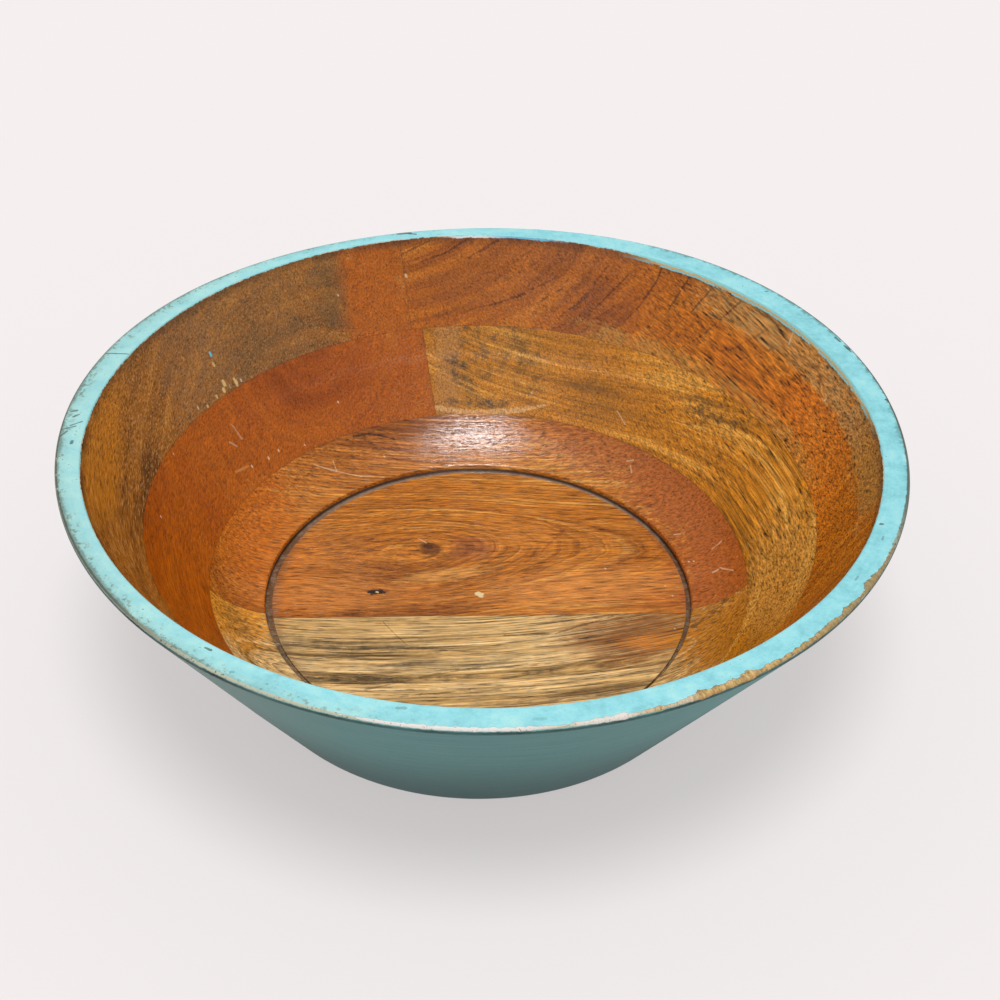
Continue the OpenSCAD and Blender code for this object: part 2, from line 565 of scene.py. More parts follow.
@dataclass(frozen=True)
class Plank:
    """One plank: where it lies, how its grain runs and how it is coloured."""
    node: str
    levels: tuple          # heights between which it lies
    facing: float          # turn of the side it faces, from the right towards the back
    seam: float            # distance of its seam from the axis, towards the side it faces
    grain: float           # turn of the grain, from the right towards the back
    pith: tuple            # where the middle of the tree lay: across the grain, and height
    ring: float            # width of a year's growth
    colours: tuple         # from the darkest streak to the lightest
    line: str              # colour of the growth lines
    pore: str              # colour of the pores
    lean: tuple = (0.0, 0.0)   # how far the pith strays from the grain, per length along it
    wander: float = 6.0        # how far the growth lines stray
    wobble: float = 0.25       # how uneven they are, in years
    sharp: float = 24.0        # how thin they are
    streak: tuple = (160.0, 5.0)   # length and width of the streaks
    bend: float = 0.0              # how much the grain bows sideways along its length
    coarse: float = 0.75           # width of the fibres, against the usual
    vessel: tuple = (2.2, 0.9)     # length and width of the cell that holds one pore
    length: float = 14.0           # length of the fibres
    rough: tuple = ()              # from where to where, to the right, the grain gets rougher
    streaks: float = 1.6
    clouds: float = 1.2
    tones: float = 0.3
    mottle: float = 0.4
    fibres: float = 1.8
    strokes: float = 0.25
    lines: float = 0.75
    pores: float = 0.35
    flecks: float = 0.0
    fleck: str = "b98a52"
    patches: tuple = ()
    marks: tuple = ()
    knots: tuple = ()
    stain: tuple = (1.6, 1.2, 1.0)     # how patches fray: by specks, by streaks and by strokes
    polish: float = 0.0                # how much more its cove shines than the rest
    rim: bool = False


PLANKS = (
    Plank("rim_left_plank", (RIM_SEAM, BOWL_H), 195, -2.5, 105,
          (60, 30), 9, ("6a4014", "945c1a", "ae6e22", "c6883a"), "4a2c0c", "32200a",
          lines=0.3, flecks=0.5, fibres=2.2, streak=(40, 6), rim=True, fleck="c89a62",
          mottle=0.8, strokes=0.35,
          patches=(
              Patch((-59, 165), (21, 26), 20, "b86000", 0.9, 0.25),
              Patch((-84, 160), (9, 10), 20, "6a5634", 0.6, 0.9, 0.5),
              Patch((-120, 125), (36, 34), 40, "8a6a42", 0.5, 0.9, 0.5),
              Patch((-150, 90), (22, 30), 20, "967048", 0.5, 0.9, 0.5),
              Patch((-182, -10), (7, 60), 3, "c87e18", 0.8, 0.9, 0.3)),
          marks=(
              fleck(-143.8, 103.8, 2, "5fd0ee", 1),
              fleck(-142.2, 101, 1.8, "e6c07a"),
              *flecks("f0cc80", (-137.1, 97.7, 2.8), (-136.9, 94.8, 2.4), (-131.9, 102.8, 2.6)),
              *flecks("e6c07a", (-130.6, 101.6, 2), (-123.5, 109.5, 1.6), (-139.8, 89.3, 2),
                      (-143.7, 81.4, 1.8)),
              *flecks(PALE_MARK, (-148.1, 76.8, 1.6), (-133.9, 98.4, 1.6), (-128.8, 104.7, 1.6),
                      (-80.3, 160, 1.2)))),
    Plank("rim_right_plank", (RIM_SEAM, BOWL_H), 15, 2.5, 105,
          (-51.6, 180.3), 5, ("884408", "b2600a", "c26e0e", "d48626"), "2e1406", "3c1a00",
          lean=(0.306, 0.136), wander=4, wobble=0.1, sharp=6, lines=0.2, pores=0.3,
          streak=(60, 4), clouds=0.8, fibres=2.4, strokes=0.3, length=16, rough=(60, 130),
          vessel=(1.7, 0.7), rim=True,
          patches=(
              Patch((20, 180), (60, 14), 0, "b46c2c", 0.3),
              Patch((166, 40), (14, 60), -10, "d8781a", 0.7, 0.8, 0.5),
              Patch((146, 96), (16, 34), 35, "cc7010", 0.7, 0.8, 0.5),
              Band((20, 84), (80, 91), "c08a3a", 0.8, 0.7),
              Band((40, 104), (111, 130), "b48a4c", 0.9, 0.5),
              Patch((186, -20), (8, 36), 0, "a8742c", 0.7, 0.8)),
          marks=(
              *crack((-45.8, 181.7), (-30.5, 188.1)),
              *crack((-35.9, 181), (-22.2, 185.4), (-10.6, 190)),
              *crack((-9.4, 184.9), (7.1, 190.1)),
              *crack((-2.7, 180.2), (8.4, 181.2), (24.9, 186), strength=0.35),
              *crack((11.3, 178), (33.2, 183.2), strength=0.3),
              *crack((-8, 169.1), (6, 171.2), (19.7, 173), (38.9, 176.3), width=1.5),
              *crack((9.9, 166), (30.8, 170.2), (44.5, 172.6)),
              *crack((31, 161.6), (50.1, 165.6), (58.2, 167.4)),
              *crack((47, 157.4), (63.7, 163.2), (78.5, 167.7)),
              *crack((41.9, 163.6), (53.9, 167), (67.7, 173.9), strength=0.5),
              *crack((67.2, 150.4), (85.1, 155.9), (93.9, 160.5), (96.4, 163.6)),
              *crack((99.8, 148.4), (109.5, 153.4), (111.9, 155.3)),
              *crack((99.9, 140), (112.7, 142.3), (121.1, 144.1)),
              *crack((102, 132.5), (116.3, 130.7), (135.9, 131), width=1.5),
              *crack((116.3, 125.1), (131, 116.6), (146.3, 112.1), strength=0.4),
              *crack((123.7, 114.6), (135.9, 109.6), (149.9, 102.4), strength=0.4),
              *crack((51.3, 160.8), (66.6, 154.6), (85.3, 143.7), (96.9, 136.5), strength=0.4),
              fleck(-43.7, 175.9, 1.8), scratch(-43, 167.2, -42.6, 163, 1.4),
              fleck(7.8, 175.7, 1), fleck(-16.2, 166.2, 1),
              scratch(158.5, 97, 160.5, 100.5, 1), fleck(172.2, 56.3, 1.4))),
    Plank("middle_left_plank", (MIDDLE_SEAM, RIM_SEAM), 196, -11.5, 106,
          (50, 95), 7, ("964600", "ac5400", "ba6208", "cc7a26"), "7a3c08", "6a3204",
          streak=(50, 4), streaks=0.8, lines=0.25, sharp=3, tones=0.15, strokes=0.2,
          fibres=2.2,
          marks=(
              scratch(-132.5, 83.3, -127.4, 81, 1.2, strength=0.3),
              scratch(-132.7, 74.7, -129.4, 75.7, 1, strength=0.35),
              scratch(-129.1, 63.8, -123.4, 71.5, 1.3, "d8a050"), fleck(-122, 72.8, 1.5),
              fleck(-114.3, 82.5, 1.6), fleck(-109.5, 89, 1.2), fleck(-157, 43.6, 1.6),
              fleck(-158.2, 0.1, 1.2), fleck(-79.6, 123.6, 1.1), fleck(-96.4, 99.2, 1.2))),
    Plank("middle_right_plank", (MIDDLE_SEAM, RIM_SEAM), 16, 11.5, 106,
          (-90, 215), 4.5, ("8e5c0e", "ba7612", "ce8418", "e6a846"), "4a320c", "3c2808",
          streak=(70, 2), streaks=1.8, lines=0.45, sharp=7, pores=0.25, fibres=2.4,
          length=48, strokes=0.3, rough=(40, 170),
          patches=(
              Patch((146, -30), (20, 50), 0, "cc9648", 0.65, 0.9, 0.3),
              Patch((-20, 150), (7, 40), 0, "b68044", 0.7, 0.8),
              Patch((4, 158), (16, 9), -10, "5c4c2c", 0.75, 1.2, 0.9),
              Patch((-12, 147.5), (8, 4), -40, "3c3a2a", 0.8, 1.2, 0.8),
              Patch((-2, 138.6), (14, 1.8), 0, "3c3c30", 0.9, 1.2, 0.7),
              Patch((26, 152), (8, 12), 0, "6a4c14", 0.7, 1.2, 0.9),
              Patch((123, 96), (20, 3), -46, "4a4020", 0.8, 1.2, 0.9),
              # Painted highlight: a pale line along the seam at the top of the cove, at the back
              Patch((0, 135.4), (32, 1), 0, "e4b678", 0.7, 0.5)),
          marks=(
              scratch(42.8, 143.5, 81.4, 128.6, 0.8, "5c3c10", 0.5),
              scratch(81.4, 128.6, 104, 114.7, 0.9, "5c3c10", 0.5),
              fleck(14.7, 154.8, 1.2), fleck(26.7, 140.7, 1),
              scratch(73.5, 123.1, 77.8, 116.4, 0.7), fleck(109.4, 90.1, 1.8, "3c2c18"))),
    Plank("bottom_back_plank", (0, MIDDLE_SEAM), 92, -15, 4,
          (34, -34), 1.8, ("8a4a10", "ba6e20", "d0822e", "e6aa54"), "5a2c0c", "4a2408",
          lean=(0, -0.08), wander=10, wobble=0.8, sharp=3, streak=(50, 1.3),
          lines=0.6, coarse=0.9, vessel=(5, 1.1), fibres=2.6, strokes=0.3, length=20,
          polish=0.6,
          knots=(
              Knot((-27, 38.5), (64, 38), 13, -7.5, 0.7, (6, 4.6)),
              Knot((-52.4, 2.8), (12, 4), 0, -0.8, 0.8, (5.2, 1.7)),
              Knot((-124, 30), (16, 26), 0, -2.5, 0, (0.1, 0.1))),
          patches=(
              Patch((-122, 44), (26, 62), 20, "c46600", 0.75),
              Patch((120, 22), (22, 46), 0, "ae5a1a", 0.95, 0.6),
              Patch((106, 72), (22, 44), 34, "ae5e20", 0.95, 0.6),
              Patch((70, 112), (34, 16), -30, "ac6028", 0.8),
              Patch((96, 2), (34, 8), 4, "a8581a", 0.5),
              Patch((-70, 0), (50, 12), 2, "d6863c", 0.5),
              Patch((-80, 20), (26, 30), 0, "d88a40", 0.4),
              # Painted highlights: two paler patches of sheen on the floor
              Patch((-18.6, 16.8), (22, 5), 12, "e0a458", 0.5),
              Patch((22, 51), (20, 9), -10, "d48636", 0.5),
              Patch((50, 8), (50, 14), 8, "e6984e", 0.45),
              Patch((-5, 39.4), (12, 9), 0, "9a5630", 0.6, 0.8)),
          marks=(
              *crack((-22.6, 74.2), (9.7, 70.5), (33.7, 62.3), (43.1, 55.6), width=2,
                     colour="84380c", strength=0.45),
              *crack((43.1, 54.8), (31.7, 37.4), (22.7, 28.4), width=1.8, colour="84380c",
                     strength=0.35),
              scratch(52.7, 39.5, 58.1, 42.2, 1.8, "4a2008"),
              scratch(55.7, 65.3, 61, 65.3, 1.6, "5a2408"),
              scratch(-29, 39.8, -27, 39, 3, "381c14", 0.6),
              scratch(-57, 2.2, -49, 2.4, 1.8, "201a16", 0.9),
              scratch(-54.6, 2.2, -51.2, 2.4, 3.6, "201a16", 0.8),
              fleck(-1.6, 1.8, 4.6, "ecd6a4", 0.95),
              fleck(-52.9, 2.5, 1.4, "e8cf98"), scratch(-33, 46.5, -29, 43, 0.8),
              scratch(-91.2, 93.1, -79, 94.2, 0.8), scratch(-79, 94.2, -66, 94.5, 0.8),
              scratch(-66, 94.5, -53.6, 95.9, 0.6), scratch(-81.3, 98.9, -79, 94.2, 0.6),
              *crack((-70.9, 113.9), (-63, 117.6), (-57.2, 118.7), (-49, 119.2), width=1.5,
                     colour="3a2414", strength=0.8),
              *crack((-60, 112), (-46, 114), (-34, 114.6), strength=0.45),
              *crack((-52, 108), (-40, 109.6), strength=0.4),
              fleck(-54.1, 109.2, 1.2),
              scratch(119.4, 29, 124, 31.1, 0.9), scratch(122.2, 13.6, 127.8, 7.2, 0.9),
              scratch(118.5, 12.5, 121, 13, 1.2), fleck(107.1, 25.4, 1.2),
              fleck(109.6, 25, 1.2), scratch(101.3, 47.1, 104.6, 46.7, 0.7),
              scratch(78.7, 100.8, 82, 100, 0.8), scratch(80.5, 98, 81, 94, 0.7),
              fleck(64.1, 23.6, 1.1), fleck(94.3, 10.1, 1.1), fleck(97.4, 2.6, 1.4))),
    Plank("bottom_front_plank", (0, MIDDLE_SEAM), 272, 15, 7,
          (-60, 20), 4, ("54401f", "cea462", "e8c080", "f4d8a0"), "3a3020", "4a3a24",
          wobble=0.6, clouds=0.5, streak=(60, 1.6), streaks=1.45, lines=0.45, sharp=4, bend=0.001,
          coarse=0.9, vessel=(7, 1.2), pores=0.5, fibres=3, strokes=0.45, length=36,
          stain=(0.6, 1.8, 1.6),
          patches=(
              Patch((80, -28), (40, 18), 12, "8c5018", 0.9, 0.9, 0.2),
              Patch((86, -33), (18, 4.5), 10, "cc7e2c", 0.85, 0.8),
              Patch((-82, -37.5), (22, 4), 2, "322c20", 0.8, 1.4, 0.7),
              Patch((-46, -40.5), (24, 2.4), 2, "322c20", 0.85, 1.4, 0.7),
              Patch((-68, -46.7), (15, 2.4), 7, "3e3626", 0.8, 1.4, 0.7),
              Patch((-33, -52.2), (13, 2.2), 8, "3e3626", 0.8, 1.4, 0.7),
              Patch((-2, -52), (22, 3), 10, "3e3626", 0.8, 1.4, 0.7),
              Patch((45, -73), (36, 3), 13, "5c3c18", 0.7, 1.4, 0.5),
              Patch((20, -44), (34, 5), 8, "e6c488", 0.4, 1.2),
              Patch((-10, -24), (50, 5), 3, "e4bc7c", 0.5, 1.2),
              Patch((-124, -28), (20, 26), 0, "de901c", 0.9, 0.8),
              Patch((-120, -34), (7, 12), 30, "6a5028", 0.7, 1.2, 0.6),
              Patch((124, -40), (26, 40), 0, "b4700c", 0.95, 0.7)),
          marks=(
              *crack((12.2, -30.2), (37.1, -28.2), (55.8, -18.8), (66.1, -14.6), width=1.5,
                     colour="3e3020", strength=0.5),
              *crack((-55.1, -70.7), (-29, -61.5), (0, -53.1), width=1.2, colour="54401e",
                     strength=0.45),
              *crack((-38.1, -75.1), (-4.7, -69.7), width=1.2, colour="54401e", strength=0.45),
              scratch(-48.8, -20.6, -42, -30.5, 0.6, "4a3418"),
              scratch(-42, -30.5, -36.1, -37.7, 0.6, "4a3418"),
              scratch(104.8, -25.7, 122.9, -12.2, 2.4, "5c3c0c", 0.6),
              scratch(108, -36, 128, -16, 1.6, "d09838"),
              fleck(96.7, -23, 1.4))),
)


# Sizes of what the wood shows, along the grain and across it, in millimetres
SWAY = (200.0, 70.0, 70.0)
WOBBLE = (45.0, 9.0, 9.0)
STRETCH = (30.0, 5.0, 5.0)
STREAK_RISE = 30.0
FIBRE_W = 1.3
STROKE_W = 1.7
SPECK = 5.0
# Length of a dash and of a long stroke against a fibre, and width of a dash
DASH_LENGTH = 0.5
STROKE_LENGTH = 0.625
DASH_W = 0.8
# How fast the pull of a knot fades; strength and fade of its eye
KNOT_FADE = -1.5
KNOT_EYE = (0.8, 0.9)
# Places of the darkest and of the lightest colour on a plank's ramp
RAMP = (0.15, 0.85)
# From clear to full: growth lines and pores along the grain, a pore, dashes and long strokes
LINE_GAPS = (-0.3, 0.05)
PORE_GAPS = (-0.4, 0.2)
PORE_EDGE = (0.4, 0.2)
PALE_DASH = (-0.06, -0.15)
DARK_DASH = (0.06, 0.15)
PALE_STROKE = (-0.03, -0.15)
DARK_STROKE = (0.03, 0.14)
# How much wider and darker the pores are in rough grain
ROUGH_WIDER = 0.04
ROUGH_DARKER = 0.15
# Clear finish: its gloss, and the relief of the wood and of the gloss over it
GLOSS = 0.25
WOOD_BUMP = 0.2
GLOSS_BUMP = 0.35


def near_knots(s, plank, place, across):
    """Years that the knots add, and how far they push the fibres aside."""
    lift, push = 0.0, 0.0
    turn = math.radians(plank.grain)
    for knot in plank.knots:
        distance = s.from_middle(place, knot.place, knot.reach, knot.turn)
        close = (distance * distance * KNOT_FADE).math("EXPONENT")
        middle = knot.place[1] * math.cos(turn) - knot.place[0] * math.sin(turn)
        lift = close * knot.lift + lift
        push = close * knot.spread * (middle - across) + push
    return lift, push


def growth(s, plank, place, along, across, up):
    """Years of growth at each place, the offsets from the pith and the slow change of the wood."""
    lift, push = near_knots(s, plank, place, across)
    drift = s.counted((along, across, up), SWAY)
    sway = s.raw("TexNoise", {"Vector": drift, "Scale": 1.0, "Detail": 1.5})
    parts = s.raw("SeparateColor", {0: Field(s, sway.outputs["Color"])}).outputs
    sway_across, sway_up, cloud = (Field(s, p) - 0.5 for p in parts)
    out = across - along * plank.lean[0] - plank.pith[0] + sway_across * plank.wander
    rise = up - along * plank.lean[1] - plank.pith[1] + sway_up * plank.wander
    wobble = s.noise((along, across, up), WOBBLE, 3.0)
    years = (out * out + rise * rise).math("SQRT") / plank.ring + wobble * plank.wobble + lift
    return years, out + push, rise, cloud


class Grain:
    """Fields of one plank: where each place lies in the tree, its streaks, fibres and pores."""

    def __init__(self, s, plank):
        self.place = s.place()
        self.xyz = x, y, z = s.split(self.place)
        turn = math.radians(plank.grain)
        along = x * math.cos(turn) + y * math.sin(turn)
        across = y * math.cos(turn) - x * math.sin(turn)
        if plank.bend:
            across = across - along * along * plank.bend
        years, out, rise, self.cloud = growth(s, plank, self.place, along, across, z)
        self.grown = years.math("FRACT")
        year = {"W": years.math("FLOOR")}
        self.tone = s.node("TexWhiteNoise", year, noise_dimensions="1D") - 0.5
        length, width = plank.streak
        size = (length, width / plank.ring, STREAK_RISE)
        self.streak = s.noise((along, years, rise), size, 7.0, 0.75)
        self.tree = (along, out, rise)
        wide = FIBRE_W * plank.coarse
        thin = DASH_W * wide
        self.fibre = s.noise(self.tree, (plank.length, wide, wide), 3.0, 0.7)
        self.dash = s.noise(self.tree, (plank.length * DASH_LENGTH, thin, thin), 1.0)
        self.ragged = s.noise(self.xyz, SPECK, 5.0, 0.7)
        self.stretch = s.noise(self.tree, STRETCH, 2.0)
        self.rough = x.span(*plank.rough) if plank.rough else 0.0
        cell_length, cell_width = plank.vessel
        spots = s.spots(self.tree, (cell_length, cell_width, cell_width))
        reach = (spots - self.rough * ROUGH_WIDER).span(*PORE_EDGE)
        self.pore = reach * self.stretch.span(*PORE_GAPS)


def grown_colour(s, plank, g):
    """Streaks of the plank's colours with growth lines, pale flecks and pores."""
    level = 0.5 + g.streak * plank.streaks + g.cloud * plank.clouds + g.tone * plank.tones
    stops = np.linspace(*RAMP, len(plank.colours)).tolist()
    colour = s.ramp(level, list(zip(stops, plank.colours)))
    line = (g.grown ** plank.sharp) * (g.tone + 0.8) * g.stretch.span(*LINE_GAPS)
    colour = s.mix(line * plank.lines, colour, plank.line)
    if plank.flecks:
        colour = s.mix(g.dash.span(*PALE_DASH) * plank.flecks, colour, plank.fleck)
    return s.mix(g.pore * (plank.pores + g.rough * ROUGH_DARKER), colour, plank.pore)


def patched(s, plank, g, colour):
    """Patches that fray along the grain, and the dark eyes of the knots."""
    specks, streaky, stroked = plank.stain
    fray = g.ragged * specks + g.streak * streaky + g.dash * stroked
    for patch in plank.patches:
        colour = patch.draw(s, g.place, fray, colour)
    for knot in plank.knots:
        eye = Patch(knot.place, knot.eye, 0.0, plank.line, *KNOT_EYE)
        colour = eye.draw(s, g.place, g.ragged * 0.6, colour)
    return colour


def fibrous(s, plank, g, colour):
    """Light and dark fibres and dashes, with longer strokes where the grain is rough."""
    light = 1.0 + g.fibre * (plank.fibres + g.rough) + g.ragged * plank.mottle
    if plank.rough:
        size = (plank.length * STROKE_LENGTH, STROKE_W, STROKE_W)
        stroke = s.noise(g.tree, size, 3.0, 0.6)
        strokes = stroke.span(*PALE_STROKE) * 0.35 - stroke.span(*DARK_STROKE) * 0.5
        light = light + g.rough * strokes
    return s.scale(colour, light - g.dash.span(*DARK_DASH) * plank.strokes)


def gloss(plank, x, y):
    """How much the clear finish shines: more where the back of the cove is rubbed smooth."""
    if not plank.polish:
        return GLOSS
    cove = (x * x + y * y).math("SQRT").span(PROFILE.floor_r - 2.0, PROFILE.floor_r)
    rubbed = y.span(60.0, 100.0) * x.span(-46.0, -14.0) * x.span(30.0, 2.0)
    return GLOSS + cove * rubbed * plank.polish


def wood(plank):
    """A solid wood for one plank, so that each cut through it shows the same tree."""
    s = Shader(plank.node + "_wood")
    g = Grain(s, plank)
    x, y, z = g.xyz
    colour = grown_colour(s, plank, g)
    colour = patched(s, plank, g, colour)
    colour = fibrous(s, plank, g, colour)
    for mark in plank.marks:
        colour = mark.draw(s, g.place, g.ragged * 2.0 + g.fibre, colour)
    colour = glue_line(s, plank, x, y, z, colour)
    if plank.rim:
        colour = paint_overrun(s, x, y, z, colour)
    else:
        colour = groove_dust_light_and_shade(s, x, y, z, g.ragged, colour)
    height = g.fibre - g.pore * 0.6
    roughness = 0.3 + g.pore * 0.3 + g.fibre * 0.3
    return s.finish(colour, roughness, height, WOOD_BUMP, GLOSS_BUMP, Specular_IOR_Level=0.05,
                    Coat_Weight=gloss(plank, x, y), Coat_Roughness=0.21, Coat_IOR=2.2)


# Paint past the inner edge of the rim: from clear to full, by millimetres below the top
OVERRUN = (0.7, 0.5)
STAIN_AND_SHADE = (6.0, 1.0)
TAN_LINE = (2.4, 2.0)
STRAND_LOW = (3.1, 2.8)
STRAND_TOP = (2.0, 2.3)
PRIMER_LINE = (1.1, 0.8)
BACK_RUN = (1.7, 1.4)


def paint_overrun(s, x, y, z, colour):
    """Paint that ran past the inner edge of the rim, and under it a dark band of stain with painted
    shade.
    """
    slow = s.noise((x, y, 0.0), 16.0, 2.0)
    ragged = s.noise((x, y, z), (2.0, 2.0, 3.0), 4.0, 0.65)
    below = BOWL_H - z + slow * 2.0 + ragged * 1.6
    right_back = x.span(70.0, 100.0) * y.span(0.0, 40.0)
    gaps = (slow + ragged * 0.3).span(-0.06, 0.0)
    strand = below.span(*STRAND_LOW) * below.span(*STRAND_TOP) * gaps
    back = x.span(-26.0, -14.0) * x.span(48.0, 30.0) * y.span(100.0, 150.0)
    return s.layered(
        colour,
        # Stain with painted shade: a dark band in the wood just under the paint's edge
        (below.span(*STAIN_AND_SHADE) * (0.5 + slow * 1.6), "2e1c0e"),
        (below.span(*TAN_LINE) * right_back, "d0b47c"),
        (strand * right_back, "8ccfd4"),
        (below.span(*PRIMER_LINE) * slow.span(-0.02, 0.08), "dccbb0"),
        (below.span(*BACK_RUN) * back, s.mix(x.span(-4.0, 16.0), "e6f0f0", "74c4e4")),
        ((below - right_back * 0.7).span(*OVERRUN), "93dbe0"))


def glue_line(s, plank, x, y, z, colour):
    """The thin dark line where the plank meets its neighbours."""
    facing = math.radians(plank.facing)
    inward = x * math.cos(facing) + y * math.sin(facing) - plank.seam
    low, high = plank.levels
    above = (z - low).math("MINIMUM", high - z) + 0.1
    edge = inward.math("MINIMUM", above)
    return s.mix(edge.span(0.45, 0.1) * 0.35, colour, "2a1608")


def groove_dust_light_and_shade(s, x, y, z, ragged, colour):
    """Dust and old polish in the groove round the floor, made lighter at the back as painted light,
    and painted shade on the side of the ledge above the groove.
    """
    inside = z.span(1.0, 2.0)
    depth = 1 - PROFILE.floor_z / BOWL_H
    aside = x - FLOOR_SHIFT - FOOT_SHIFT[0] * depth
    behind = y - FOOT_SHIFT[1] * depth
    radius = (aside * aside + behind * behind).math("SQRT") + ragged * 2.6
    edge = PROFILE.floor_r - GROOVE_W
    left_front = x.span(20.0, -100.0) * y.span(70.0, 20.0)
    haze = radius.span(edge - 6.0, edge + 1.0) * left_front * 0.5
    dusty = radius.span(edge - 0.5, edge + 0.5) * 0.85
    low = z.span(PROFILE.floor_z + 1.4, PROFILE.floor_z) * inside
    groove_band_colour = s.mix(ragged.span(-0.05, 0.15), "54422f", "86705e")
    # Painted light: the dust is made lighter towards the back
    groove_band_colour = s.mix(y.span(30.0, 90.0) * 0.6, groove_band_colour, "aa9c90")
    colour = s.mix(dusty.math("MAXIMUM", haze) * low, colour, groove_band_colour)
    # Painted shade: the side of the ledge darkened above the groove
    side = z.span(PROFILE.groove_z + 0.5, PROFILE.groove_z + 0.9) * radius.span(edge + 1.6, edge + 2.2)
    ledge = z.span(PROFILE.floor_z + 1.2, PROFILE.floor_z + 0.4)
    return s.mix(side * ledge * inside * 0.7, colour, "241206")


def plank_mesh(plank, blank):
    """What turning leaves of one plank: the blank, sawn at the plank's seam and at the levels of its
    course.
    """
    made = skin(blank, closed=False)
    low, high = plank.levels
    facing = math.radians(plank.facing)
    towards = Vector((math.cos(facing), math.sin(facing), 0))
    saw(made, towards * plank.seam * MM, -towards)
    if low > 0:
        saw(made, (0, 0, low * MM), (0, 0, -1))
    if high < BOWL_H:
        saw(made, (0, 0, high * MM), (0, 0, 1))
    return made


def add_planks():
    foot = arc(PROFILE.base_c, BASE_ARRIS, -math.pi / 2, PROFILE.base_stop, FINE_STEP)
    under_paint = PROFILE.painted(PAINT_T, *WOOD_UNDER_STEPS)
    inner = PROFILE.inner(FINE_STEP, WALL_STEP)
    blank = moved(turned([*foot, *under_paint, *inner], WOOD_SEGMENTS))
    floor_rings = sum(r < PROFILE.floor_r - GROOVE_W / 2 for r, z in inner)
    blank[-floor_rings:, :, 0] += FLOOR_SHIFT
    for plank in PLANKS:
        name = plank.node.replace("_plank", "_wood")
        piece = finished(plank_mesh(plank, blank), name, wood(plank))
        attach(piece, "root")
        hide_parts(plank.node)


# Paint

# Wear of the outer corner by turn from the back: how far the paint has gone, and how bare it is
WEAR = (
    (-180, 1.2, 0), (-168.8, 1, 0), (-166.5, 0.5, 0.1), (-164, 0.1, 0.2), (-159, -0.1, 0.4),
    (-130, -0.3, 0.7), (-95, 0.1, 0.7), (-80, -0.3, 0.7), (70, -0.3, 0.8), (112, 0.1, 1),
    (118, 0.8, 1), (120.5, 1.8, 1), (122.1, 2.6, 1), (124.5, 1.2, 1), (125.4, 0.6, 1),
    (126.6, 1.6, 1), (128.3, 2.2, 1), (129.8, 0.8, 1), (130.8, 2.2, 1), (132.3, 2, 1),
    (134.3, 1.6, 1), (136.5, 1.4, 1), (138.6, 1.2, 1), (141.8, 1.4, 1), (145.3, 1.4, 1),
    (146, 3, 1), (147, 3.2, 1), (147.8, 0.8, 1), (148.5, 2.6, 1), (149.6, 1.6, 1),
    (151, 2, 1), (153.4, 2.6, 1), (155.1, 1.2, 0.6), (157, 0.8, 0.7), (158.8, 1.4, 0.9),
    (161.3, 0.6, 0.6), (163.1, 1.8, 0.1), (165.5, 1.4, 0.15), (167.9, 1.4, 0.2), (170, 0.4, 0.5),
    (174, 1, 0.1), (180, 1.2, 0),
)


def rim_place(turn, radius):
    angle = math.radians(turn)
    return (radius * math.sin(angle), radius * math.cos(angle), BOWL_H)


def smear(turn, radius, length, width, heading_turn, colour="4c4a3c", strength=0.7):
    """A short stroke on the flat of the rim."""
    start = np.array(rim_place(turn, radius))
    angle = math.radians(heading_turn)
    reach = np.array([math.cos(angle), math.sin(angle), 0]) * length / 2
    return Mark(tuple(start - reach), tuple(start + reach), width, colour, strength)


PAINT_MARKS = (
    Mark(rim_place(-70.6, 202.6), rim_place(-69.5, 191), 0.8, "3a3a30"),
    smear(-85.3, 198.4, 2.5, 1.6, 20), smear(-86.4, 196.4, 3, 1.3, 40),
    smear(-92.8, 194.6, 1.6, 1.6, 90, "26281f"), smear(-89.4, 198, 7, 1, 25),
    smear(-88.3, 195, 6, 0.9, 35), smear(-90.8, 199.5, 5, 1.2, 60),
    smear(-143.9, 192, 3, 1.2, -30, "26281f"), smear(-149, 197.4, 1.2, 1.4, 0, "6a8a84", 0.45),
    smear(-170.6, 192, 3, 1.8, 0, "6c7a74", 0.45), smear(109.8, 192.4, 0.6, 1.8, 0, "1e1e1e"),
    smear(122.3, 194.4, 3, 1.2, 60, "6c7a74", 0.5), smear(112.7, 195.2, 2.4, 1, 70, "5c6a64", 0.5),
    smear(-13.2, 197, 7, 2, 10, "4a3c28"), smear(-12, 195.5, 4, 1.4, -10, "4a3c28"),
    smear(173, 196.5, 5, 1.6, 5, "5f9a90", 0.25), smear(64, 202.4, 4, 1.6, -64, "2c3028"),
    smear(66.6, 202.4, 6, 1.4, -66, "2c3028"), smear(80.2, 202, 1.5, 1.4, -10, "1e1e1e", 0.8),
    smear(48, 202, 1.2, 1.2, 0, "3c4840", 0.6),
)


# Clumps of wear round the rim, and how much faster the wear ends down the wall than on the rim
WEAR_CLUMPS = 60
WEAR_DOWN = 2.0


def wear_levels(turns, runs):
    """How worn each place is and how bare, by turn and by distance in from the outer corner."""
    away = (np.degrees(turns) + 180) % 360 - 180
    at, reach, tan = np.array(WEAR).T
    places = [(math.sin(t) * WEAR_CLUMPS, math.cos(t) * WEAR_CLUMPS, 0) for t in turns]
    ragged = np.array([noise.fractal(p, 0.6, 2.0, 5) for p in places])
    gone = np.interp(away, at, reach) * (1.0 + 0.3 * ragged) + 0.4 * ragged
    distance = np.where(runs > 0, runs, -WEAR_DOWN * runs)
    worn = np.clip(0.5 + gone[None, :] - distance[:, None], 0, 1)
    return worn, np.broadcast_to(np.interp(away, at, tan), worn.shape)


